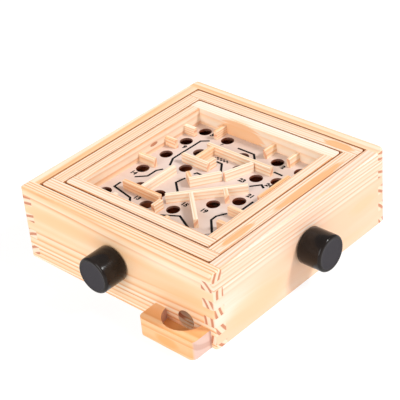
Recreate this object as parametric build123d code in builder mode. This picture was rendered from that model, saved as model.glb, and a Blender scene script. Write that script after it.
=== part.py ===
from build123d import *
from math import radians, tan
import os

# Tilt maze game: a wooden labyrinth box with two nested tilting frames.
# Millimetres. The origin is the centre of the box's underside, +X runs to the right
# along the front, -Y is the front with the ball tray, and +Z is up.

# ---- box -------------------------------------------------------------------------
box_w = 206.0
box_d = 213.0
box_h = 68.0
board_t = 11.0
finger = 8.0
half_finger = 4.0
corner_r = 2.5
worn_corner_r = 7.0
rim_r = 1.5
rim_reach = 3.0
half_w = box_w / 2
half_d = box_d / 2
in_w = half_w - board_t
in_d = half_d - board_t

# ---- frames ------------------------------------------------------------------------
frame_gap = 1.5
frame_corner_r = 2.8
gimbal_w = in_w - frame_gap
gimbal_d = in_d - frame_gap
gimbal_bar = 12.0
maze_w = gimbal_w - gimbal_bar - frame_gap
maze_d = gimbal_d - gimbal_bar - frame_gap
side_rail = 9.5
end_rail = 10.5
well_w = maze_w - side_rail
well_d = maze_d - end_rail
frame_low = 48.0
pivot_z = 58.0
pivot_r = 1.5
pin_hold = 7.0
pin_reach = 8.0
pin_edge = 0.4
bore_spare = 0.5
running_gap = 0.05
top_edge_r = 0.5

# ---- maze plate, walls and holes ---------------------------------------------------
plate_top = 52.7
plate_t = 2.0
groove_deep = 3.0
wall_h = 8.0
wall_t = 3.6
wall_edge = 0.3
ball_hole_r = 5.7
ball_r = 4.75

ball_holes = [
    (-54.0, 61.2), (-28.2, 60.8), (29.1, 57.9), (54.4, 56.7), (-1.0, 48.4),
    (-57.1, 40.2), (-35.0, 32.8), (9.3, 31.5), (30.2, 29.0), (47.6, 35.0),
    (-57.1, 15.0), (-28.0, 7.6), (-57.6, -13.0), (40.9, -4.5), (26.7, -19.6),
    (-19.4, -33.6), (-40.4, -33.6), (5.7, -43.6), (-17.0, -50.7), (-59.1, -55.6),
    (60.5, -12.0), (60.5, -34.0), (25.0, -62.8), (61.0, 44.0),
]

# Each wall strip is a straight length between the middles of its two ends.
wall_lines = {
    "wall_long": (-30.5, 39.3, 38.3, 39.3),
    "wall_home_side": (-23.8, 17.0, -23.8, 37.5),
    "wall_home_front": (-37.3, 15.2, -9.0, 15.2),
    "wall_home_stub": (-10.8, 17.0, -10.8, 25.0),
    "wall_slant": (11.6, 11.4, 20.6, 36.7),
    "wall_centre": (-6.2, -11.3, 8.7, 11.3),
    "wall_centre_stub": (-6.85, -8.8, -14.6, -3.4),
    "wall_diagonal": (-6.0, -39.6, 38.6, 9.6),
    "wall_diagonal_spur": (9.2, -25.6, 37.9, -51.65),
    "wall_diagonal_stub": (27.6, -5.25, 35.2, -12.15),
    "wall_left_long": (-29.9, -40.9, -29.9, -3.0),
    "wall_front_long": (-48.8, -42.8, -8.4, -42.8),
    "wall_front_stub": (-3.4, -56.6, -3.4, -46.4),
    "wall_right_long": (57.6, 0.6, 57.6, 38.0),
}
back_stub_x = (-38.3, 16.7, 41.5)
back_stub_y = 57.0
left_stubs = ((51.3, -56.0), (27.3, -56.0), (-5.0, -50.0))
right_stubs = ((-22.7, 46.5), (-42.5, 52.5))
front_stubs = ((-40.2, -60.0), (16.8, -60.0))

# ---- knobs, shafts and strings -----------------------------------------------------
front_shaft_x = -0.5
front_shaft_z = 36.2
right_shaft_y = 2.8
right_shaft_z = 32.8
shaft_r = 1.5
shaft_seat = 7.0
seat_spare = 1.0
knob_r = 15.5
knob_len = 22.0
knob_gap = 1.0
knob_edge = 2.0
knob_back_edge = 0.6
knob_bore = 14.0
collar_r = 4.0
collar_len = 3.0
collar_gap = 0.4
string_r = 0.4
coil_len = 4.8
coil_r = shaft_r + 2 * string_r
maze_string_y = -10.0
gimbal_string_x = 22.0
eye_wire = 0.6
eye_ring = 1.9
eye_z = frame_low - 2.7
eye_spare = 0.3
shank_r = 0.8
shank_len = 8.0
spring_r = 1.4
spring_len = 12.0
string_clear = 2.2

# ---- run-off board, exit hole and ball tray ----------------------------------------
run_low_z = 7.0
run_slope_y = 4.0
run_slope_x = 1.5
run_t = 3.0
ledge_w = 6.0
ledge_h = 8.0
ledge_off_ground = 0.5
deflector_len = 18.0
deflector_gap = 1.5
exit_x = 73.0
exit_z = 14.6
exit_r = 8.0
tray_x0 = 42.0
tray_x1 = 97.5
tray_deep = 20.5
tray_h = 16.3
tray_corner = 5.0
pocket_x = 70.5
pocket_y = -105.0
pocket_r = 18.0
pocket_floor = 6.3
ball_x = 61.5
ball_y = -63.8

os.makedirs("parts", exist_ok=True)


def save(part, name):
    """Labels a finished piece and writes it to its own file."""
    part.label = name
    export_step(part, f"parts/{name}.step")


def rectangle_from(x0, y0, x1, y1):
    """A rectangle in the sketch's plane between two opposite corners."""
    with Locations(((x0 + x1) / 2, (y0 + y1) / 2)):
        Rectangle(abs(x1 - x0), abs(y1 - y0))


def heights(start):
    """The bottom of every second finger gap, from the given height up."""
    return [start + 2 * finger * i for i in range(4)]


# ---- box boards --------------------------------------------------------------------
# The front and back boards own the corners at the top; the side boards' fingers fill
# the gaps between. A notch is cut for each finger of the other board.
side_fingers = heights(half_finger)
end_fingers = [(0.0, half_finger)] + [(z, z + finger) for z in heights(half_finger + finger)]


def round_outer_corners(sign_x, sign_y, radius):
    """The waste outside one rounded vertical corner of the box."""
    with BuildSketch(Plane.XY) as waste:
        rectangle_from(sign_x * half_w, sign_y * half_d,
                       sign_x * (half_w - radius), sign_y * (half_d - radius))
        with Locations((sign_x * (half_w - radius), sign_y * (half_d - radius))):
            Circle(radius, mode=Mode.SUBTRACT)
    extrude(waste.sketch, amount=box_h, mode=Mode.SUBTRACT)


def ease_rim(part):
    """Sanded edges where the box's outer faces meet its top."""
    outer = [
        edge for edge in part.edges().group_by(Axis.Z)[-1]
        if abs(edge.center().X) > half_w - rim_reach or abs(edge.center().Y) > half_d - rim_reach
    ]
    fillet(outer, rim_r)


for name, side in (("front_board", -1), ("back_board", 1)):
    with BuildPart() as board:
        with BuildSketch(Plane.XY):
            rectangle_from(-half_w, side * half_d, half_w, side * in_d)
        extrude(amount=box_h)
        for z in side_fingers:
            with BuildSketch(Plane.XY.offset(z)):
                rectangle_from(-half_w, side * half_d, -in_w, side * in_d)
                rectangle_from(half_w, side * half_d, in_w, side * in_d)
            extrude(amount=finger, mode=Mode.SUBTRACT)
        round_outer_corners(-1, side, corner_r)
        round_outer_corners(1, side, worn_corner_r if side > 0 else corner_r)
        ease_rim(board)
        # the shaft runs right through the front board and into a blind seat at the back
        with BuildSketch(Plane((front_shaft_x, side * in_d, front_shaft_z), z_dir=(0, side, 0))):
            Circle(shaft_r + running_gap)
        extrude(amount=board_t if side < 0 else shaft_seat + seat_spare, mode=Mode.SUBTRACT)
        if side < 0:
            with BuildSketch(Plane((exit_x, -in_d, exit_z), z_dir=(0, -1, 0))):
                Circle(exit_r)
            extrude(amount=board_t, mode=Mode.SUBTRACT)
    save(board.part, name)

for name, side in (("left_board", -1), ("right_board", 1)):
    with BuildPart() as board:
        with BuildSketch(Plane.XY):
            rectangle_from(side * half_w, -half_d, side * in_w, half_d)
        extrude(amount=box_h)
        for low, high in end_fingers:
            with BuildSketch(Plane.XY.offset(low)):
                rectangle_from(side * half_w, -half_d, side * in_w, -in_d)
                rectangle_from(side * half_w, half_d, side * in_w, in_d)
            extrude(amount=high - low, mode=Mode.SUBTRACT)
        round_outer_corners(side, -1, corner_r)
        round_outer_corners(side, 1, worn_corner_r if side > 0 else corner_r)
        ease_rim(board)
        with BuildSketch(Plane((side * in_w, right_shaft_y, right_shaft_z), z_dir=(side, 0, 0))):
            Circle(shaft_r + running_gap)
        extrude(amount=board_t if side > 0 else shaft_seat + seat_spare, mode=Mode.SUBTRACT)
        # blind seat for the gimbal's pivot pin
        with BuildSketch(Plane((side * in_w, 0, pivot_z), z_dir=(side, 0, 0))):
            Circle(pivot_r)
        extrude(amount=pin_hold, mode=Mode.SUBTRACT)
    save(board.part, name)

# ---- run-off board -----------------------------------------------------------------
# It slopes down to the front and a little to the right, so that a fallen ball rolls to
# the exit hole. Its upper face passes through the low corner at the front right.
fall = Vector(tan(radians(run_slope_x)), -tan(radians(run_slope_y)), 1)
run_top = Plane(origin=(in_w, -in_d, run_low_z), x_dir=(1, 0, -fall.X), z_dir=fall)
run_under = run_top.offset(-run_t)
ledge_under = run_under.offset(-ledge_h)

with BuildPart() as run_off_board:
    with BuildSketch(Plane.XY):
        Rectangle(2 * in_w, 2 * in_d)
    extrude(amount=box_h / 2)
    split(bisect_by=run_top, keep=Keep.BOTTOM)
    split(bisect_by=run_under, keep=Keep.TOP)
save(run_off_board.part, "run_off_board")

for name, side in (("left_ledge", -1), ("right_ledge", 1)):
    with BuildPart() as ledge:
        with BuildSketch(Plane.XY.offset(ledge_off_ground)):
            rectangle_from(side * in_w, -in_d, side * (in_w - ledge_w), in_d)
        extrude(amount=box_h / 2)
        split(bisect_by=run_under, keep=Keep.BOTTOM)
        split(bisect_by=ledge_under, keep=Keep.TOP)
    save(ledge.part, name)

with BuildPart() as corner_deflector:
    with BuildSketch(Plane.XY):
        with BuildLine():
            Polyline((in_w, -in_d), (in_w, deflector_len - in_d),
                     (exit_x + exit_r + deflector_gap, -in_d), close=True)
        make_face()
    extrude(amount=exit_z + exit_r)
    split(bisect_by=run_top, keep=Keep.TOP)
save(corner_deflector.part, "corner_deflector")

# ---- ball tray ---------------------------------------------------------------------
with BuildPart() as ball_tray:
    with BuildSketch(Plane.XY):
        rectangle_from(tray_x0, -half_d, tray_x1, -half_d - tray_deep)
    extrude(amount=tray_h)
    fillet(ball_tray.edges().filter_by(Axis.Z).group_by(Axis.Y)[0], tray_corner)
    with BuildSketch(Plane.XY.offset(pocket_floor)):
        with Locations((pocket_x, pocket_y)):
            Circle(pocket_r)
    extrude(amount=tray_h, mode=Mode.SUBTRACT)
save(ball_tray.part, "ball_tray")

# ---- pivot pins --------------------------------------------------------------------
# The gimbal rocks about X on two pins in the side boards, and the maze rocks about Y
# on two pins in the gimbal's end bars. Each pin is pressed into the outer part.
def pin(start, direction, length):
    """A plain steel pin with slightly rounded ends."""
    with BuildPart() as steel_pin:
        with BuildSketch(Plane(start, z_dir=direction)):
            Circle(pivot_r)
        extrude(amount=length)
        fillet(steel_pin.edges().filter_by(GeomType.CIRCLE), pin_edge)
    return steel_pin.part


pin_len = pin_hold + frame_gap + pin_reach
gimbal_pins = [pin((side * (in_w + pin_hold), 0, pivot_z), (-side, 0, 0), pin_len) for side in (-1, 1)]
maze_pins = [
    pin((0, side * (maze_d + frame_gap + pin_hold), pivot_z), (0, -side, 0), pin_len)
    for side in (-1, 1)
]
save(Compound(gimbal_pins), "gimbal_pivot_pins")
save(Compound(maze_pins), "maze_pivot_pins")


# ---- frame bars --------------------------------------------------------------------
def cut_bore(point, direction, radius, depth):
    """A round hole of the given depth, from a point on a face into the wood."""
    with BuildSketch(Plane(point, z_dir=direction)) as mouth:
        Circle(radius)
    extrude(mouth.sketch, amount=depth, mode=Mode.SUBTRACT)


def cut_pilot(x, y):
    """The pilot hole for a screw eye, up from the underside of a bar."""
    cut_bore((x, y, frame_low), (0, 0, 1), shank_r, shank_len)


def ease_top(part, axis):
    """Sanded long edges at the top of a bar that runs along the given axis."""
    fillet(part.edges().filter_by(axis).group_by(Axis.Z)[-1], top_edge_r)


for name, side in (("gimbal_front_bar", -1), ("gimbal_back_bar", 1)):
    with BuildPart() as bar:
        with BuildSketch(Plane.XY.offset(frame_low)):
            rectangle_from(-gimbal_w, side * gimbal_d, gimbal_w, side * (gimbal_d - gimbal_bar))
        extrude(amount=box_h - frame_low)
        outer = bar.edges().filter_by(Axis.Z).sort_by(Axis.Y)
        fillet(outer[-2:] if side > 0 else outer[:2], frame_corner_r)
        ease_top(bar, Axis.X)
        cut_bore((0, side * (gimbal_d - gimbal_bar), pivot_z), (0, side, 0), pivot_r, pin_hold)
        cut_pilot(gimbal_string_x, side * (gimbal_d - gimbal_bar / 2))
    save(bar.part, name)

for name, side in (("gimbal_left_bar", -1), ("gimbal_right_bar", 1)):
    with BuildPart() as bar:
        with BuildSketch(Plane.XY.offset(frame_low)):
            rectangle_from(side * gimbal_w, gimbal_bar - gimbal_d,
                           side * (gimbal_w - gimbal_bar), gimbal_d - gimbal_bar)
        extrude(amount=box_h - frame_low)
        ease_top(bar, Axis.Y)
        cut_bore((side * gimbal_w, 0, pivot_z), (-side, 0, 0), pivot_r + running_gap, pin_reach + bore_spare)
    save(bar.part, name)

groove_low = plate_top - plate_t
for name, side in (("maze_front_rail", -1), ("maze_back_rail", 1)):
    with BuildPart() as rail:
        with BuildSketch(Plane.XY.offset(frame_low)):
            rectangle_from(-maze_w, side * maze_d, maze_w, side * well_d)
        extrude(amount=box_h - frame_low)
        outer = rail.edges().filter_by(Axis.Z).sort_by(Axis.Y)
        fillet(outer[-2:] if side > 0 else outer[:2], frame_corner_r)
        ease_top(rail, Axis.X)
        with BuildSketch(Plane.XY.offset(groove_low)):
            rectangle_from(-well_w - groove_deep, side * well_d,
                           well_w + groove_deep, side * (well_d + groove_deep))
        extrude(amount=plate_t, mode=Mode.SUBTRACT)
        cut_bore((0, side * maze_d, pivot_z), (0, -side, 0), pivot_r + running_gap, pin_reach + bore_spare)
    save(rail.part, name)

for name, side in (("maze_left_rail", -1), ("maze_right_rail", 1)):
    with BuildPart() as rail:
        with BuildSketch(Plane.XY.offset(frame_low)):
            rectangle_from(side * maze_w, -well_d, side * well_w, well_d)
        extrude(amount=box_h - frame_low)
        ease_top(rail, Axis.Y)
        with BuildSketch(Plane.XY.offset(groove_low)):
            rectangle_from(side * well_w, -well_d, side * (well_w + groove_deep), well_d)
        extrude(amount=plate_t, mode=Mode.SUBTRACT)
        cut_pilot(side * (maze_w + well_w) / 2, maze_string_y)
    save(rail.part, name)

# ---- maze plate and walls ----------------------------------------------------------
with BuildPart() as maze_plate:
    with BuildSketch(Plane.XY.offset(groove_low)):
        Rectangle(2 * (well_w + groove_deep), 2 * (well_d + groove_deep))
        with Locations(*ball_holes):
            Circle(ball_hole_r, mode=Mode.SUBTRACT)
    extrude(amount=plate_t)
save(maze_plate.part, "maze_plate")


def strip(x0, y0, x1, y1):
    """A maze wall: a straight strip glued on the plate between two end points."""
    run = Vector(x1 - x0, y1 - y0)
    with BuildPart() as wall:
        with BuildSketch(Plane(((x0 + x1) / 2, (y0 + y1) / 2, plate_top), x_dir=run, z_dir=(0, 0, 1))):
            Rectangle(run.length, wall_t)
        extrude(amount=wall_h)
        fillet(wall.edges().group_by(Axis.Z)[-1], wall_edge)
    return wall.part


for name, line in wall_lines.items():
    save(strip(*line), name)

groups = {
    "walls_back_stubs": [strip(x, back_stub_y, x, well_d) for x in back_stub_x],
    "walls_left_stubs": [strip(-well_w, y, x, y) for y, x in left_stubs],
    "walls_right_stubs": [strip(x, y, well_w, y) for y, x in right_stubs],
    "walls_front_stubs": [strip(x, -well_d, x, y) for x, y in front_stubs],
}
for name, strips in groups.items():
    save(Compound(strips), name)

with BuildPart() as ball:
    with Locations((ball_x, ball_y, plate_top + ball_r + running_gap)):
        Sphere(ball_r)
save(ball.part, "steel_ball")


# ---- knobs and shafts --------------------------------------------------------------
def knob_and_shaft(prefix, centre, outward, far_end, coil_at):
    """A knob with its shaft, retaining collar and string coil.

    centre is where the shaft's axis meets the box's outer face, outward the way the
    knob points, far_end how far the shaft runs into the box from there, and coil_at
    the distance into the box of the string coil's middle.
    """
    face = Plane(centre, z_dir=outward)
    with BuildPart() as knob:
        with BuildSketch(face.offset(knob_gap)):
            Circle(knob_r)
        extrude(amount=knob_len)
        rims = knob.edges().filter_by(GeomType.CIRCLE).sort_by(Axis(centre, outward))
        fillet(rims[-1], knob_edge)
        chamfer(rims[0], knob_back_edge)
        cut_bore(face.offset(knob_gap).origin, outward, shaft_r, knob_bore)
    save(knob.part, f"{prefix}_knob")
    with BuildPart() as shaft:
        with BuildSketch(face.offset(knob_gap + knob_bore)):
            Circle(shaft_r)
        extrude(amount=-(knob_gap + knob_bore + far_end))
    save(shaft.part, f"{prefix}_shaft")
    for part_name, start, radius, length in (
        (f"{prefix}_shaft_collar", board_t + collar_gap, collar_r, collar_len),
        (f"{prefix}_string_coil", coil_at - coil_len / 2, coil_r, coil_len),
    ):
        with BuildPart() as ring:
            with BuildSketch(face.offset(-start)):
                Circle(radius)
                Circle(shaft_r, mode=Mode.SUBTRACT)
            extrude(amount=-length)
        save(ring.part, part_name)


knob_and_shaft(
    "front", (front_shaft_x, -half_d, front_shaft_z), (0, -1, 0),
    half_d + in_d + shaft_seat, half_d + maze_string_y,
)
knob_and_shaft(
    "right", (half_w, right_shaft_y, right_shaft_z), (1, 0, 0),
    half_w + in_w + shaft_seat, half_w - gimbal_string_x,
)


# ---- screw eyes, strings and springs -----------------------------------------------
def screw_eye(x, y, lie):
    """A small screw eye under a bar: a wire ring on a shank. lie turns the ring about Z."""
    with BuildPart() as eye:
        with Locations(Location((x, y, eye_z), (90, 0, lie))):
            Torus(eye_ring, eye_wire)
        with BuildSketch(Plane.XY.offset(eye_z + eye_ring)):
            with Locations((x, y)):
                Circle(shank_r)
        extrude(amount=frame_low + shank_len - eye_z - eye_ring)
    return eye.part


def rod(start, end, radius):
    """A straight round length between two points."""
    with BuildPart() as length:
        with BuildSketch(Plane(start, z_dir=end - start)):
            Circle(radius)
        extrude(amount=(end - start).length)
    return length.part


rail_mid = (maze_w + well_w) / 2
bar_mid = gimbal_d - gimbal_bar / 2
save(Compound([screw_eye(side * rail_mid, maze_string_y, 0) for side in (-1, 1)]), "maze_screw_eyes")
save(Compound([screw_eye(gimbal_string_x, side * bar_mid, 90) for side in (-1, 1)]), "gimbal_screw_eyes")

# Each string leaves the underside of its coil on both sides, a little apart along the
# shaft, and runs straight up to an eye; on one side a spring keeps it tight.
string_drop = shaft_r + string_r
coil_half = coil_len / 2 - string_r
eye_reach = eye_ring + eye_wire + eye_spare


def string_run(name, start, end, spring_name=None):
    """One straight run of string, with a spring on its far end where one is named."""
    if spring_name:
        spring_start = end - (end - start).normalized() * spring_len
        save(rod(spring_start, end, spring_r), spring_name)
        end = spring_start
    save(rod(start, end, string_r), name)


def maze_run(side):
    """The two ends of the maze's string on one side of the front shaft."""
    start = Vector(
        front_shaft_x + side * string_clear, maze_string_y + side * coil_half, front_shaft_z - string_drop
    )
    return start, Vector(side * (rail_mid - eye_reach), maze_string_y, eye_z)


def gimbal_run(side):
    """The two ends of the gimbal's string on one side of the right shaft."""
    start = Vector(
        gimbal_string_x + side * coil_half, right_shaft_y + side * string_clear, right_shaft_z - string_drop
    )
    return start, Vector(gimbal_string_x, side * (bar_mid - eye_reach), eye_z)


string_run("maze_string_left", *maze_run(-1))
string_run("maze_string_right", *maze_run(1), spring_name="maze_string_spring")
string_run("gimbal_string_front", *gimbal_run(-1))
string_run("gimbal_string_back", *gimbal_run(1), spring_name="gimbal_string_spring")
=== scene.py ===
from math import cos, pi, radians, sin

import bmesh
import bpy
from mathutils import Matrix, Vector


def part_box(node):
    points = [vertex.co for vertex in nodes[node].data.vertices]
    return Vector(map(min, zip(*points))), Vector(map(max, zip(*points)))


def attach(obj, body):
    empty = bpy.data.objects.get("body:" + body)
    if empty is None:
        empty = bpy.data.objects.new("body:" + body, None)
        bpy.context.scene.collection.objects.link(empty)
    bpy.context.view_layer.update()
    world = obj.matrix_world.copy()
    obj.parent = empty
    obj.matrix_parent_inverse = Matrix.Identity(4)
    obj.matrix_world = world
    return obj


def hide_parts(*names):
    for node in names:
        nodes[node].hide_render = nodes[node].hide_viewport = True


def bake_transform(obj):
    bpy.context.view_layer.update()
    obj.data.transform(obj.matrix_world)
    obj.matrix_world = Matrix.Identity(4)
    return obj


# Tilt maze game: looks. Metres, in the CAD's frame: +X right along the front, -Y the
# front with the ball tray, +Z up.

# ---- view --------------------------------------------------------------------------
view_azimuth = radians(45.07)
view_elevation = radians(33.11)
view_roll = radians(-5.511)
view_distance = 1.0711
view_target = Vector((-0.00527, -0.00187, 0.03502))
view_lens = 117.6
sensor = 36.0

# ---- tones (linear) ------------------------------------------------------------------
peach = (0.950, 0.560, 0.300)
bar_tones = ((0.950, 0.790, 0.630), (0.920, 0.580, 0.350), (0.740, 0.300, 0.110))
front_tones = ((0.970, 0.790, 0.600), (0.950, 0.570, 0.300), (0.740, 0.240, 0.060))
right_tones = ((0.970, 0.800, 0.670), (0.950, 0.600, 0.400), (0.830, 0.380, 0.190))
rail_tones = ((0.980, 0.875, 0.760), (0.960, 0.740, 0.520), (0.950, 0.560, 0.300))
wall_tones = ((0.970, 0.820, 0.650), (0.940, 0.590, 0.330), (0.820, 0.370, 0.140))
pale_wall_tones = ((0.980, 0.870, 0.720), (0.960, 0.710, 0.500), (0.880, 0.480, 0.250))
peach_wall_tones = ((0.960, 0.700, 0.470), (0.930, 0.500, 0.260), (0.800, 0.330, 0.130))
tray_tones = ((0.930, 0.600, 0.340), (0.900, 0.450, 0.190), (0.760, 0.300, 0.090))
plate_tones = ((0.760, 0.620, 0.560), (0.710, 0.560, 0.480), (0.660, 0.470, 0.380))
end_tones = ((0.950, 0.720, 0.540), (0.580, 0.200, 0.100))
wall_end_tones = ((0.940, 0.680, 0.460), (0.820, 0.400, 0.230))
tray_end_tones = ((0.740, 0.520, 0.460), (0.620, 0.390, 0.330))
# painted shade in a deeper orange for the inside of the tray's pocket
pocket_shade_orange = (0.860, 0.400, 0.130)
# painted shade for the upright faces that stand in the gaps between box, gimbal and maze
gap_shade_brown = (0.560, 0.220, 0.070)
# painted shade for the walls of the holes through the plate and for its edges
hole_wall_shade = (0.160, 0.032, 0.010)
heart_orange = (0.900, 0.440, 0.180)
heart_pale = (0.930, 0.530, 0.270)
knot_red = (0.520, 0.170, 0.070)
ink_black = (0.006, 0.005, 0.006)
dull_black = (0.031, 0.026, 0.033)
ring_gap = 0.0024
every_side = (0.001, 0.001, 1)
pocket_centre = (0.0705, -0.1050, 0.0062)
pocket_reach = (0.0240, 0.0240, 0.0098)

wall_looks = {
    "wall_slant": pale_wall_tones,
    "wall_centre": pale_wall_tones,
    "wall_diagonal": pale_wall_tones,
    "wall_diagonal_spur": pale_wall_tones,
    "wall_left_long": pale_wall_tones,
    "wall_front_long": peach_wall_tones,
    "wall_centre_stub": peach_wall_tones,
    "walls_right_stubs": peach_wall_tones,
    # painted shade: this wall stands in the shadow of the right rail, so it takes the darker tray tones
    "wall_right_long": tray_tones,
}

# ---- printed route -------------------------------------------------------------------
ink_lift = 0.00005
route_width = 0.0020
digit_size = 0.0062
digit_swell = 0.00035
finish_cell = 0.0017
finish_columns = 9

# Places on the plate are in millimetres from the middle of the box.
routes = [
    [(-13.0, 56.6), (4.7, 56.6), (10.3, 50.9)],
    [(36.0, 44.7), (45.3, 44.3)],
    [(33.4, 16.7), (40.0, 24.1), (44.7, 21.2)],
    [(50.5, 1.4), (50.5, -13.2)],
    [(44.3, -23.1), (39.8, -30.9), (40.0, -36.9), (53.4, -51.1), (47.4, -57.3)],
    [(36.9, -57.5), (16.3, -47.2), (0.6, -56.2)],
    [(-57.7, -38.7), (-57.5, -46.4), (-35.0, -50.9), (-30.9, -55.4)],
    [(-54.0, -26.4), (-45.9, -19.2), (-45.9, -8.9), (-42.6, -4.1)],
    [(-42.0, 3.3), (-47.4, 13.0), (-47.0, 47.4), (-40.8, 52.1)],
    [(-8.9, 7.4), (-15.2, 7.6), (-16.5, 4.9)],
    [(-17.9, -3.7), (-19.8, -13.0), (-9.3, -22.2)],
    [(-13.6, 30.1), (-7.6, 29.9), (0.0, 20.0)],
]
numbers = [
    ("13", -29.9, -48.0), ("14", -59.3, -22.0), ("15", 8.2, -33.0), ("19", 26.8, -30.7),
    ("21", 43.3, 6.2), ("23", 22.7, 20.0), ("2", 37.5, 54.4), ("9", -52.1, 32.3),
    ("5", -45.3, 60.6), ("6", -28.0, 51.9), ("24", 45.4, 26.8),
]
finish_mark = (-11.8, 33.8)

# ---- cords, springs and knobs ----------------------------------------------------------
strand_r = 0.00022
strand_off = 0.00018
strand_pitch = 0.0022
coil_r = 0.0019
coil_cord_r = 0.0004
coil_turns = 5
spring_r = 0.00112
spring_wire_r = 0.00025
spring_turns = 11
knob_edge = 0.0022

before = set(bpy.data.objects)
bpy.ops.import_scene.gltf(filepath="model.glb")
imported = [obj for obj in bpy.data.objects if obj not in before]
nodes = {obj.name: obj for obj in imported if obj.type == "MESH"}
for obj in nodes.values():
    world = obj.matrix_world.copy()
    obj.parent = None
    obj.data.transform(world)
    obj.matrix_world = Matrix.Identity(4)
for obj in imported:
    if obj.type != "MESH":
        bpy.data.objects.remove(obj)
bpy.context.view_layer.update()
scene = bpy.context.scene
plate_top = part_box("maze_plate")[1][2]


# ---- materials -----------------------------------------------------------------------
class Surface:
    """One procedural material: short helpers around its node tree."""

    def __init__(self, name, roughness=0.5, specular=0.5):
        self.material = bpy.data.materials.new(name)
        self.material.use_nodes = True
        self.tree = self.material.node_tree
        self.shader = self.tree.nodes["Principled BSDF"]
        self.shader.inputs["Roughness"].default_value = roughness
        self.shader.inputs["Specular IOR Level"].default_value = specular
        self.coords = self.tree.nodes.new("ShaderNodeTexCoord")
        self.point = self.coords.outputs["Object"]
        self.normal = self.coords.outputs["Normal"]

    def put(self, socket, value):
        """Links a socket to another, or sets it to a constant."""
        if isinstance(value, bpy.types.NodeSocket):
            self.tree.links.new(value, socket)
        elif isinstance(value, tuple) and len(value) == 3 and len(socket.default_value) == 4:
            socket.default_value = (*value, 1.0)
        else:
            socket.default_value = value

    def math(self, operation, a, b=0.0):
        node = self.tree.nodes.new("ShaderNodeMath")
        node.operation = operation
        self.put(node.inputs[0], a)
        self.put(node.inputs[1], b)
        return node.outputs[0]

    def vector(self, operation, a, b=(0.0, 0.0, 0.0)):
        node = self.tree.nodes.new("ShaderNodeVectorMath")
        node.operation = operation
        self.put(node.inputs[0], a)
        if operation == "SCALE":
            self.put(node.inputs["Scale"], b)
        else:
            self.put(node.inputs[1], b)
        return node.outputs["Value" if operation in ("LENGTH", "DOT_PRODUCT") else "Vector"]

    def noise(self, vector, scale, detail=2.0, roughness=0.5):
        node = self.tree.nodes.new("ShaderNodeTexNoise")
        self.put(node.inputs["Vector"], vector)
        node.inputs["Scale"].default_value = scale
        node.inputs["Detail"].default_value = detail
        node.inputs["Roughness"].default_value = roughness
        return node.outputs["Fac"]

    def ramp(self, value, stops):
        node = self.tree.nodes.new("ShaderNodeValToRGB")
        self.put(node.inputs[0], value)
        elements = node.color_ramp.elements
        while len(elements) < len(stops):
            elements.new(0.5)
        for element, (place, tone) in zip(elements, stops):
            element.position = place
            element.color = (*tone, 1.0)
        return node.outputs["Color"]

    def step(self, value, low, high):
        """0 below low, 1 above high, smooth between."""
        node = self.tree.nodes.new("ShaderNodeMapRange")
        node.interpolation_type = "SMOOTHSTEP"
        self.put(node.inputs["Value"], value)
        node.inputs["From Min"].default_value = low
        node.inputs["From Max"].default_value = high
        return node.outputs["Result"]

    def mix(self, amount, a, b):
        node = self.tree.nodes.new("ShaderNodeMix")
        node.data_type = "RGBA"
        self.put(node.inputs[0], amount)
        self.put(node.inputs[6], a)
        self.put(node.inputs[7], b)
        return node.outputs[2]

    def colour(self, value):
        self.put(self.shader.inputs["Base Color"], value)

    def bump(self, height, depth):
        node = self.tree.nodes.new("ShaderNodeBump")
        node.inputs["Distance"].default_value = depth
        self.put(node.inputs["Height"], height)
        self.put(self.shader.inputs["Normal"], node.outputs["Normal"])


def across_grain(surface, pith, along):
    """The vector from the pith line to the point, and the distance along the grain."""
    from_pith = surface.vector("SUBTRACT", surface.point, tuple(pith))
    run = surface.vector("DOT_PRODUCT", from_pith, tuple(along))
    along_part = surface.vector("SCALE", tuple(along), run)
    return surface.vector("SUBTRACT", from_pith, along_part), run


def stretched(surface, along, squeeze):
    """Coordinates in which everything is drawn out along the grain."""
    run = surface.vector("DOT_PRODUCT", surface.point, tuple(along))
    pull = surface.vector("SCALE", tuple(along), surface.math("MULTIPLY", run, squeeze - 1.0))
    return surface.vector("ADD", surface.point, pull)


def growth_rings(surface, along, pith, gap, waver, taper):
    """The ring count at a point and a slow noise drawn out along the grain."""
    radial, run = across_grain(surface, pith, along)
    slow = surface.noise(stretched(surface, along, 0.16), 26.0)
    sway = surface.math("MULTIPLY", surface.math("SUBTRACT", slow, 0.5), waver * 2)
    lean = surface.math("ADD", sway, surface.math("MULTIPLY", run, taper))
    bent = surface.math("ADD", surface.vector("LENGTH", radial), lean)
    uneven = surface.math("MULTIPLY", surface.noise(bent, 60.0, detail=1.0), 1.6)
    return surface.math("ADD", surface.math("DIVIDE", bent, gap), uneven), slow


def ring_boldness(surface, count):
    """Some rings are bold and others faint: 0.3 to 1, the same all along a ring."""
    each = surface.noise(surface.math("MULTIPLY", surface.math("FLOOR", count), 0.737), 5.0, detail=0.0)
    return surface.math("ADD", 0.3, surface.math("MULTIPLY", surface.step(each, 0.32, 0.58), 0.7))


def end_grain(surface, face, count, along, tones):
    """Broad dark stripes where the wood is cut across the grain."""
    base, stripe = tones
    broad = surface.math("FRACT", surface.math("MULTIPLY", count, 0.42))
    stripes = surface.ramp(broad, [(0.0, base), (0.42, base), (0.56, stripe), (0.88, stripe), (0.98, base)])
    facing = surface.math("ABSOLUTE", surface.vector("DOT_PRODUCT", surface.normal, tuple(along)))
    return surface.mix(surface.math("MULTIPLY", surface.step(facing, 0.6, 0.95), 0.9), face, stripes)


def fade_inside(surface, amount, band):
    """Lets the rings fade where the board is calm: band is (height, half height)."""
    height, half = band
    up = surface.vector("DOT_PRODUCT", surface.point, (0.0, 0.0, 1.0))
    away = surface.math("ABSOLUTE", surface.math("SUBTRACT", up, height))
    return surface.math("MULTIPLY", amount, surface.step(away, half * 0.5, half * 1.1))


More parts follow.
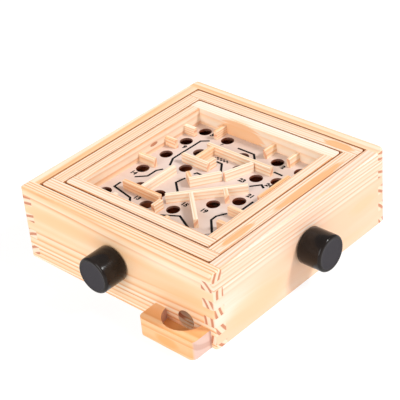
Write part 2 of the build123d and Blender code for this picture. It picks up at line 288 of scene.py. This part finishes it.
def add_spots(surface, face, spots, wander, amount=0.85, inner=0.96, outer=1.10):
    """Knots, heartwood and broad bands: each spot is (centre, radii, tone)."""
    for centre, radii, tone in spots:
        offset = surface.vector("DIVIDE", surface.vector("SUBTRACT", surface.point, centre), radii)
        reach = surface.math("ADD", surface.vector("LENGTH", offset), wander)
        face = surface.mix(surface.math("MULTIPLY", surface.step(reach, outer, inner), amount), face, tone)
    return face


def on_sides(surface, sides):
    """Where painted shade goes: 1 on upright faces at or past (1) or within (-1) a rectangle about the
    centre.
    """
    half_x, half_y, way = sides
    steepness = surface.math("ABSOLUTE", surface.vector("DOT_PRODUCT", surface.normal, (0.0, 0.0, 1.0)))
    across = surface.math("ABSOLUTE", surface.vector("DOT_PRODUCT", surface.point, (1 / half_x, 0.0, 0.0)))
    deep = surface.math("ABSOLUTE", surface.vector("DOT_PRODUCT", surface.point, (0.0, 1 / half_y, 0.0)))
    past = surface.math("MULTIPLY", surface.math("SUBTRACT", surface.math("MAXIMUM", across, deep), 1.0), way)
    return surface.math("MULTIPLY", surface.step(steepness, 0.7, 0.3), surface.step(past, -0.005, -0.003))


def pine(name, along, pith, gap=ring_gap, tones=bar_tones, waver=0.0016, taper=0.008, strength=1.0,
         calm=None, bands=(), spots=(), sides=None, painted_shade_tone=gap_shade_brown, ends=end_tones):
    """Pine with growth rings around a pith line, fine fibres and darker end grain.

    along is the grain's direction and pith a point on the pith line. calm is a range of
    heights with faint rings, bands are broad soft stains and spots are knots and
    heartwood. sides says which upright faces take the side tone, a painted shade for
    faces that stand in the gaps between parts or in holes.
    """
    along = Vector(along).normalized()
    light, medium, late = tones
    surface = Surface(name, roughness=0.45, specular=0.3)
    count, slow = growth_rings(surface, along, pith, gap, waver, taper)
    ring = surface.math("FRACT", count)
    stops = [(0.0, light), (0.30, light), (0.58, medium), (0.80, late), (0.96, light)]
    patchy = surface.noise(stretched(surface, along, 0.12), 90.0, detail=3.0)
    shown = surface.math("MULTIPLY", surface.step(patchy, 0.16, 0.50), strength)
    shown = surface.math("MULTIPLY", shown, ring_boldness(surface, count))
    if calm:
        shown = fade_inside(surface, shown, calm)
    broad = surface.noise(stretched(surface, along, 0.10), 34.0)
    ground = surface.mix(surface.step(broad, 0.36, 0.62), light, medium)
    face = surface.mix(shown, ground, surface.ramp(ring, stops))
    fibres = surface.noise(stretched(surface, along, 0.02), 2600.0, roughness=0.6)
    face = surface.mix(surface.math("MULTIPLY", surface.step(fibres, 0.48, 0.72), 0.45), face, medium)
    wander = surface.math("ADD", surface.math("MULTIPLY", slow, 0.8), surface.math("MULTIPLY", ring, 0.22))
    wander = surface.math("SUBTRACT", wander, 0.5)
    face = add_spots(surface, face, bands, wander, amount=0.45, inner=0.6, outer=1.15)
    face = add_spots(surface, face, spots, wander)
    wood = end_grain(surface, face, count, along, ends)
    if sides:
        # painted shade on the upright faces that sides picks out
        wood = surface.mix(surface.math("MULTIPLY", on_sides(surface, sides), 0.85), wood, painted_shade_tone)
    surface.colour(wood)
    surface.bump(surface.math("ADD", fibres, surface.math("MULTIPLY", ring, 0.5)), 0.00004)
    return surface.material


def rough_wood(name, tone, dark, deep):
    """Unfinished, mottled wood inside the box, with painted shade making it a darker red on top away from the
    front.
    """
    surface = Surface(name, roughness=0.75, specular=0.2)
    mottle = surface.noise(surface.point, 420.0, detail=6.0, roughness=0.65)
    streaks = surface.noise(stretched(surface, Vector((0, 1, 0)), 0.1), 260.0, detail=3.0)
    colour = surface.mix(surface.step(mottle, 0.35, 0.65), dark, tone)
    colour = surface.mix(surface.math("MULTIPLY", streaks, 0.5), colour, tone)
    # painted shade: tops deep inside the box take the dark red tone
    inward = surface.vector("DOT_PRODUCT", surface.point, (0.0, 1.0, 0.0))
    upward = surface.vector("DOT_PRODUCT", surface.normal, (0.0, 0.0, 1.0))
    shade = surface.math("MULTIPLY", surface.step(inward, -0.085, -0.070), surface.step(upward, 0.1, 0.5))
    surface.colour(surface.mix(shade, colour, deep))
    surface.bump(mottle, 0.0002)
    return surface.material


def gloss_black():
    """Lacquer on the turned sides of the knobs."""
    surface = Surface("knob_black", specular=0.22)
    fine = surface.noise(surface.point, 1800.0, detail=3.0)
    broad = surface.noise(surface.point, 90.0)
    surface.colour(surface.mix(surface.step(broad, 0.3, 0.8), (0.008, 0.005, 0.004), (0.016, 0.011, 0.009)))
    gloss = surface.math("ADD", 0.08, surface.math("MULTIPLY", fine, 0.14))
    surface.put(surface.shader.inputs["Roughness"], gloss)
    surface.bump(fine, 0.00002)
    return surface.material


def matte_black(name):
    """Dull black with a fine grain."""
    surface = Surface(name, roughness=0.66, specular=0.35)
    grain = surface.noise(surface.point, 2400.0, detail=4.0)
    cloud = surface.noise(surface.point, 160.0, detail=2.0)
    dark = tuple(0.7 * c for c in dull_black)
    blotch = surface.math("MULTIPLY", surface.math("ADD", grain, cloud), 0.5)
    surface.colour(surface.mix(blotch, dark, dull_black))
    surface.bump(grain, 0.00004)
    return surface.material


def steel(name, roughness, tone=(0.62, 0.62, 0.63)):
    """Drawn or polished steel with faint scratches."""
    surface = Surface(name, roughness=roughness)
    surface.shader.inputs["Metallic"].default_value = 1.0
    scratch = surface.noise(stretched(surface, Vector((1, 1, 0)).normalized(), 0.05), 3000.0, detail=2.0)
    surface.colour(surface.mix(surface.step(scratch, 0.4, 0.7), tone, tuple(0.85 * c for c in tone)))
    wear = surface.math("MULTIPLY", scratch, 0.15)
    surface.put(surface.shader.inputs["Roughness"], surface.math("ADD", roughness, wear))
    surface.bump(scratch, 0.00001)
    return surface.material


def ink():
    """Printed black with a faint weave of bare wood showing through."""
    surface = Surface("print_ink", roughness=0.7, specular=0.12)
    worn = surface.noise(surface.point, 1500.0, detail=3.0)
    surface.colour(surface.mix(surface.step(worn, 0.62, 0.90), ink_black, (0.12, 0.08, 0.07)))
    return surface.material


def dress(name, material):
    """Gives a CAD node one material."""
    slots = nodes[name].data.materials
    slots.clear()
    slots.append(material)


def long_way(name):
    """The direction in which most of a node's edge length runs."""
    mesh = nodes[name].data
    ends = [[mesh.vertices[v].co for v in edge.vertices] for edge in mesh.edges]
    runs = sorted((b - a for a, b in ends), key=lambda run: run.length)
    ways = [run.normalized() for run in runs[-12:]]

    def shared(way):
        """How much of all the edges' length is parallel to a direction."""
        return sum(run.length for run in runs if abs(run.normalized().dot(way)) > 0.9999)

    return max(ways, key=shared)


def middle(name):
    """The centre of a node's box."""
    low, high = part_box(name)
    return (Vector(low) + Vector(high)) / 2


def dress_box():
    """The four boards, each with its own grain, shaded where they face the gap."""
    inner = (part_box("right_board")[0][0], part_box("back_board")[0][1], -1)
    front, back = middle("front_board"), middle("back_board")
    left, right = middle("left_board"), middle("right_board")
    front_bands = [
        ((-0.045, front.y, 0.0455), (0.055, 0.02, 0.0065), peach),
        ((0.050, front.y, 0.0400), (0.060, 0.02, 0.0085), peach),
    ]
    right_bands = [
        ((right.x, -0.062, 0.016), (0.02, 0.045, 0.015), peach),
        ((right.x, 0.075, 0.030), (0.02, 0.022, 0.007), peach),
        ((right.x, 0.035, 0.006), (0.02, 0.050, 0.006), peach),
    ]
    dress("front_board", pine("front_pine", (1, 0, 0.008), front + Vector((0, 0.040, 0.010)),
                              tones=front_tones, calm=(0.044, 0.017), bands=front_bands, sides=inner))
    dress("back_board", pine("back_pine", (1, 0, 0.01), back + Vector((0, -0.03, -0.05)), tones=front_tones,
                             sides=inner))
    dress("left_board", pine("left_pine", (0, 1, 0.01), left + Vector((0.02, 0, -0.06)), tones=front_tones,
                             sides=inner))
    dress("right_board", pine("right_pine", (0, 1, -0.012), right + Vector((-0.040, 0, -0.016)),
                              tones=right_tones, waver=0.0024, calm=(0.018, 0.032), bands=right_bands,
                              sides=inner))


def dress_bars():
    """Gimbal bars: straight grain with streaks of orange heartwood, and painted shade on every upright face,
    as these stand in the gaps.
    """
    right, back = middle("gimbal_right_bar"), middle("gimbal_back_bar")
    hearts = {
        "gimbal_right_bar": [
            ((right.x + 0.0027, 0.026, 0.068), (0.0036, 0.040, 0.012), heart_orange),
            ((right.x + 0.0005, -0.056, 0.068), (0.0030, 0.018, 0.012), heart_orange),
        ],
        "gimbal_back_bar": [((0.070, back.y, 0.068), (0.016, 0.0045, 0.012), heart_orange)],
    }
    for name, along, beside in (
        ("gimbal_front_bar", (1, 0, 0), (0, 0.05, -0.02)),
        ("gimbal_back_bar", (1, 0, 0), (0, 0.05, -0.02)),
        ("gimbal_left_bar", (0, 1, 0), (-0.05, 0, -0.02)),
        ("gimbal_right_bar", (0, 1, 0), (-0.05, 0, -0.02)),
    ):
        dress(name, pine(f"{name}_pine", along, middle(name) + Vector(beside), spots=hearts.get(name, ()),
                         sides=every_side))


def dress_rails():
    """Maze rails with painted shade on their outer faces, which face the gap, so that they are paler inside
    the well; with an arc of heartwood and a knot.
    """
    outer = (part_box("maze_right_rail")[1][0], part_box("maze_back_rail")[1][1], 1)
    back, left = middle("maze_back_rail"), middle("maze_left_rail")
    front, right = middle("maze_front_rail"), middle("maze_right_rail")
    arc = [((-0.022, back.y - 0.005, 0.050), (0.027, 0.008, 0.0175), heart_pale)]
    knots = [((left.x + 0.005, 0.012, 0.0605), (0.004, 0.0045, 0.0016), knot_red)]
    dress("maze_front_rail", pine("front_rail_pine", (1, 0, 0), front + Vector((0, 0.05, -0.02)),
                                  sides=outer))
    dress("maze_right_rail", pine("right_rail_pine", (0, 1, 0), right + Vector((-0.05, 0, -0.02)),
                                  sides=outer))
    dress("maze_back_rail", pine("back_rail_pine", (1, 0, 0), back + Vector((0, 0.06, -0.02)),
                                 tones=rail_tones, strength=0.6, spots=arc, sides=outer))
    dress("maze_left_rail", pine("left_rail_pine", (0, 1, 0), left + Vector((-0.05, 0, -0.02)), waver=0.003,
                                 spots=knots, sides=outer))


def dress_maze():
    """The plate with painted shade on the walls of its holes and its edges, and its walls with the grain
    along each length.
    """
    pith = middle("maze_plate") + Vector((0, 0.02, -0.11))
    dress("maze_plate", pine("plate_veneer", (1, 0, 0), pith, gap=0.009, tones=plate_tones, strength=0.35,
                             taper=0.05, sides=every_side, painted_shade_tone=hole_wall_shade))
    for name in nodes:
        if name.startswith("wall"):
            way = long_way(name)
            pith = middle(name) + Vector((-way.y * 0.03, way.x * 0.03, -0.03))
            tones = wall_looks.get(name, wall_tones)
            dress(name, pine(f"{name}_pine", way, pith, tones=tones, strength=0.8, ends=wall_end_tones))


def dress_tray():
    """The ball tray, with painted shade in a deeper orange inside its pocket."""
    tray = middle("ball_tray")
    pocket = [(pocket_centre, pocket_reach, pocket_shade_orange)]
    dress("ball_tray", pine("tray_pine", (1, 0, 0.03), tray + Vector((0, 0.012, 0.03)), gap=0.006,
                            tones=tray_tones, strength=0.7, spots=pocket, ends=tray_end_tones))


def dress_small_parts():
    """Inner boards, steel and plastic parts."""
    # the last tone is painted shade for the tops deep inside the box
    inner = rough_wood("inner_wood", (0.46, 0.31, 0.21), (0.20, 0.11, 0.07), (0.42, 0.10, 0.035))
    for name in ("run_off_board", "left_ledge", "right_ledge", "corner_deflector"):
        dress(name, inner)
    plain = steel("plain_steel", 0.3)
    for name in ("gimbal_pivot_pins", "maze_pivot_pins", "front_shaft", "right_shaft", "gimbal_screw_eyes",
                 "maze_screw_eyes"):
        dress(name, plain)
    dress("steel_ball", steel("polished_steel", 0.06, (0.78, 0.78, 0.80)))
    collar = matte_black("collar_black")
    for name in ("front_shaft_collar", "right_shaft_collar"):
        dress(name, collar)


# ---- pieces --------------------------------------------------------------------------
def new_piece(name, mesh, body, slot, *stands_for):
    """Adds a mesh to the scene as a piece that rides on a body."""
    piece = bpy.data.objects.new(name, mesh)
    scene.collection.objects.link(piece)
    if body:
        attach(piece, body)
    if stands_for:
        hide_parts(*stands_for)
    return piece


def frame_across(way):
    """Two unit vectors square to a direction."""
    first = way.cross(Vector((0, 0, 1)) if abs(way.z) < 0.9 else Vector((1, 0, 0))).normalized()
    return first, way.cross(first).normalized()


def turned(name, body, slot, stands_for, origin, way, profile, materials, rim_step):
    """A lathe-turned piece: profile is a list of (distance along, radius)."""
    first, second = frame_across(way)
    around = 96
    build = bmesh.new()
    rings = []
    for along, radius in profile:
        rings.append([build.verts.new(origin + way * along + (first * cos(a) + second * sin(a)) * radius)
                      for a in (2 * pi * i / around for i in range(around))])
    for index, (low, high) in enumerate(zip(rings, rings[1:])):
        for i in range(around):
            j = (i + 1) % around
            face = build.faces.new((low[i], low[j], high[j], high[i]))
            face.material_index = 1 if index >= rim_step else 0
            face.smooth = True
    build.faces.new(rings[0])
    cap = build.faces.new(rings[-1])
    cap.material_index = 1
    bmesh.ops.recalc_face_normals(build, faces=build.faces)
    mesh = bpy.data.meshes.new(name)
    build.to_mesh(mesh)
    for material in materials:
        mesh.materials.append(material)
    return new_piece(name, mesh, body, slot, stands_for)


def knob_profile(start, end, radius, edge):
    """Side, rounded shoulder and a faintly dished end face."""
    steps = 10
    profile = [(start, radius - 0.0012), (start + 0.0002, radius - 0.0005), (start + 0.0008, radius)]
    profile += [(start + (end - start - edge) * t, radius) for t in (0.25, 0.5, 0.75)]
    for i in range(steps + 1):
        turn = pi / 2 * i / steps
        profile.append((end - edge + edge * sin(turn), radius - edge + edge * cos(turn)))
    profile += [(end - 0.00008, radius - edge - 0.0006), (end - 0.00022, radius - edge - 0.0014)]
    profile += [(end - 0.00025, radius * 0.5), (end - 0.00025, 0.0012)]
    return profile


def make_knobs():
    """The two black knobs in place of the CAD ones."""
    black = gloss_black()
    dull = matte_black("knob_end_black")
    for name, body, way in (("front_knob", "front_control", Vector((0, -1, 0))),
                            ("right_knob", "right_control", Vector((1, 0, 0)))):
        low, high = (Vector(corner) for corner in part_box(name))
        centre = (low + high) / 2
        half = abs((high - low).dot(way)) / 2
        radius = (high.z - low.z) / 2
        profile = knob_profile(-half, half, radius, knob_edge)
        turned(f"{name}_turned", body, "black_gloss", name, centre, way, profile, (black, dull),
               len(profile) - 4)


def ribbon(build, points, width, height):
    """A flat printed line with mitred corners."""
    spots = [Vector((x, y, 0)) / 1000 for x, y in points]
    runs = [(b - a).normalized() for a, b in zip(spots, spots[1:])]
    pairs = []
    for i, spot in enumerate(spots):
        before = runs[max(i - 1, 0)]
        after = runs[min(i, len(runs) - 1)]
        mean = (before + after).normalized()
        side = Vector((-mean.y, mean.x, 0)) * (width / 2 / max(mean.dot(after), 0.3))
        pairs.append([build.verts.new((*(spot + s * side).xy, height)) for s in (-1, 1)])
    for (a, b), (c, d) in zip(pairs, pairs[1:]):
        build.faces.new((a, c, d, b))


def square(build, x, y, size, height):
    """A small printed square centred on a point."""
    half = size / 2
    corners = ((-half, -half), (half, -half), (half, half), (-half, half))
    build.faces.new([build.verts.new((x + dx, y + dy, height)) for dx, dy in corners])


def print_route(material):
    """The black guide lines and a chequered mark at the end of the route."""
    build = bmesh.new()
    height = plate_top + ink_lift
    for points in routes:
        ribbon(build, points, route_width, height)
    middle_column = (finish_columns - 1) / 2
    for row in range(2):
        for column in range(row, finish_columns, 2):
            x = finish_mark[0] / 1000 + (column - middle_column) * finish_cell
            y = finish_mark[1] / 1000 + row * finish_cell
            square(build, x, y, finish_cell, height)
    mesh = bpy.data.meshes.new("printed_route")
    build.to_mesh(mesh)
    mesh.materials.append(material)
    new_piece("printed_route", mesh, "maze", "matte_black")


def print_numbers(material):
    """The hole numbers, read from the front."""
    for index, (text, x, y) in enumerate(numbers):
        curve = bpy.data.curves.new(f"digits_{index}", "FONT")
        curve.body = text
        curve.size = digit_size
        curve.align_x = "CENTER"
        curve.align_y = "CENTER"
        curve.offset = digit_swell
        letters = bpy.data.objects.new(f"digits_{index}", curve)
        scene.collection.objects.link(letters)
        mesh = bpy.data.meshes.new_from_object(letters.evaluated_get(bpy.context.evaluated_depsgraph_get()))
        bpy.data.objects.remove(letters)
        for vertex in mesh.vertices:
            vertex.co += Vector((x / 1000, y / 1000, plate_top + ink_lift))
        mesh.materials.clear()
        mesh.materials.append(material)
        new_piece(f"printed_number_{index + 1:02d}", mesh, "maze", "matte_black")


def tube(build, path, radius, sides=8):
    """A closed round tube along a list of points."""
    rings = []
    side = frame_across((path[1] - path[0]).normalized())[0]
    for i, point in enumerate(path):
        way = (path[min(i + 1, len(path) - 1)] - path[max(i - 1, 0)]).normalized()
        side = (side - way * side.dot(way)).normalized()
        other = way.cross(side)
        rings.append([build.verts.new(point + (side * cos(a) + other * sin(a)) * radius)
                      for a in (2 * pi * k / sides for k in range(sides))])
    for low, high in zip(rings, rings[1:]):
        for k in range(sides):
            face = build.faces.new((low[k], low[(k + 1) % sides], high[(k + 1) % sides], high[k]))
            face.smooth = True
    build.faces.new(rings[0])
    build.faces.new(rings[-1])


def helix(start, end, radius, turns, per_turn=14, phase=0.0):
    """Points around a straight line from start to end."""
    first, second = frame_across((end - start).normalized())
    count = max(int(turns * per_turn), 2)
    points = []
    for i in range(count + 1):
        angle = phase + 2 * pi * turns * i / count
        points.append(start.lerp(end, i / count) + (first * cos(angle) + second * sin(angle)) * radius)
    return points


def tube_piece(name, paths, radius, material, body, slot, *stands_for):
    """One piece made of one or more tubes."""
    build = bmesh.new()
    for path in paths:
        tube(build, path, radius)
    bmesh.ops.recalc_face_normals(build, faces=build.faces)
    mesh = bpy.data.meshes.new(name)
    build.to_mesh(mesh)
    mesh.materials.append(material)
    return new_piece(name, mesh, body, slot, *stands_for)


def cord_material():
    """Dark cord with fine fibres."""
    surface = Surface("cord_fibre", roughness=0.8, specular=0.2)
    fibre = surface.noise(surface.point, 3800.0, detail=3.0)
    surface.colour(surface.mix(surface.step(fibre, 0.35, 0.7), (0.03, 0.028, 0.026), (0.10, 0.09, 0.08)))
    surface.bump(fibre, 0.00005)
    return surface.material


def node_ends(name):
    """The middles of a straight rod's two ends, lowest first."""
    points = sorted((v.co.copy() for v in nodes[name].data.vertices), key=lambda p: p.z)
    way = long_way(name)
    centre = middle(name)
    half = max(abs((p - centre).dot(way)) for p in points)
    start, end = centre - way * half, centre + way * half
    return (start, end) if start.z < end.z else (end, start)


def twisted(start, end):
    """Two strands twisted round each other."""
    turns = (end - start).length / strand_pitch
    return [helix(start, end, strand_off, turns, per_turn=8, phase=phase) for phase in (0.0, pi)]


def make_strings():
    """Twisted cord, winding turns and springs in place of the plain CAD ones."""
    cord = cord_material()
    wire = steel("spring_wire", 0.25)
    for name in ("gimbal_string_front", "gimbal_string_back"):
        start, end = node_ends(name)
        piece = tube_piece(f"{name}_cord", twisted(start, end), strand_r, cord, None, "string", name)
        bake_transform(piece)
    for name in ("maze_string_left", "maze_string_right"):
        start, end = node_ends(name)
        waist = start.lerp(end, 0.5)
        lower = tube_piece(f"{name}_cord_low", twisted(start, waist), strand_r, cord, None, "string", name)
        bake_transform(lower)
        upper = tube_piece(f"{name}_cord_high", twisted(waist, end), strand_r, cord, None, "string")
        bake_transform(upper)
    for name, body in (("front_string_coil", "front_control"), ("right_string_coil", "right_control")):
        low, high = (Vector(corner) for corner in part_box(name))
        centre = (low + high) / 2
        way = Vector((0, 1, 0)) if body == "front_control" else Vector((1, 0, 0))
        half = way * ((high - low).dot(way) / 2 - coil_cord_r)
        turns = helix(centre - half, centre + half, coil_r, coil_turns, per_turn=24)
        tube_piece(f"{name}_turns", [turns], coil_cord_r, cord, body, "string", name)
    for name, body in (("maze_string_spring", "maze"), ("gimbal_string_spring", "gimbal")):
        start, end = node_ends(name)
        winding = helix(start, end, spring_r, spring_turns)
        tube_piece(f"{name}_wire", [winding], spring_wire_r, wire, body, "plain_steel", name)


# ---- studio --------------------------------------------------------------------------
def make_floor():
    """A pale sweep that glows a little, so that only faint shadows show on it."""
    mesh = bpy.data.meshes.new("floor")
    reach = 4.0
    low = -0.0003
    corners = [(-reach, -reach, low), (reach, -reach, low), (reach, reach, low), (-reach, reach, low)]
    mesh.from_pydata(corners, [], [(0, 1, 2, 3)])
    surface = Surface("floor_white", roughness=0.9, specular=0.1)
    shade = surface.noise(surface.point, 3.0)
    surface.colour(surface.mix(shade, (0.20, 0.20, 0.20), (0.24, 0.24, 0.24)))
    surface.shader.inputs["Emission Color"].default_value = (1.0, 1.0, 1.0, 1.0)
    surface.shader.inputs["Emission Strength"].default_value = 0.84
    mesh.materials.append(surface.material)
    floor = bpy.data.objects.new("floor", mesh)
    scene.collection.objects.link(floor)


def far_light(name, way, power, softness):
    """A distant soft lamp that shines from the given direction."""
    lamp = bpy.data.lights.new(name, "SUN")
    lamp.energy = power
    lamp.angle = softness
    item = bpy.data.objects.new(name, lamp)
    item.rotation_euler = (-Vector(way)).to_track_quat("-Z", "Y").to_euler()
    scene.collection.objects.link(item)


def make_light():
    """Pale surroundings with two distant soft lamps."""
    world = bpy.data.worlds.new("studio")
    world.use_nodes = True
    world.node_tree.nodes["Background"].inputs["Color"].default_value = (1.0, 1.0, 1.0, 1.0)
    world.node_tree.nodes["Background"].inputs["Strength"].default_value = 0.5
    scene.world = world
    far_light("key", (0.62, 0.33, 0.71), 2.15, radians(13))
    far_light("fill", (0.10, -0.90, 0.45), 1.45, radians(40))
    scene.view_settings.view_transform = "Standard"


def make_camera():
    """A camera at the front right corner, looking down, with a slight roll."""
    lens = bpy.data.cameras.new("view")
    lens.lens = view_lens
    lens.sensor_width = sensor
    camera = bpy.data.objects.new("view", lens)
    back = Vector((sin(view_azimuth) * cos(view_elevation), -cos(view_azimuth) * cos(view_elevation),
                   sin(view_elevation)))
    right = Vector((0, 0, 1)).cross(back).normalized()
    up = back.cross(right)
    rolled_right = right * cos(view_roll) + up * sin(view_roll)
    rolled_up = up * cos(view_roll) - right * sin(view_roll)
    camera.location = view_target + back * view_distance
    matrix = camera.matrix_world.to_3x3()
    matrix.col[0] = rolled_right
    matrix.col[1] = rolled_up
    matrix.col[2] = back
    camera.rotation_euler = matrix.to_euler()
    scene.collection.objects.link(camera)
    scene.camera = camera


make_camera()
make_light()
make_floor()
dress_box()
dress_bars()
dress_rails()
dress_maze()
dress_tray()
dress_small_parts()
make_knobs()
print_ink = ink()
print_route(print_ink)
print_numbers(print_ink)
make_strings()
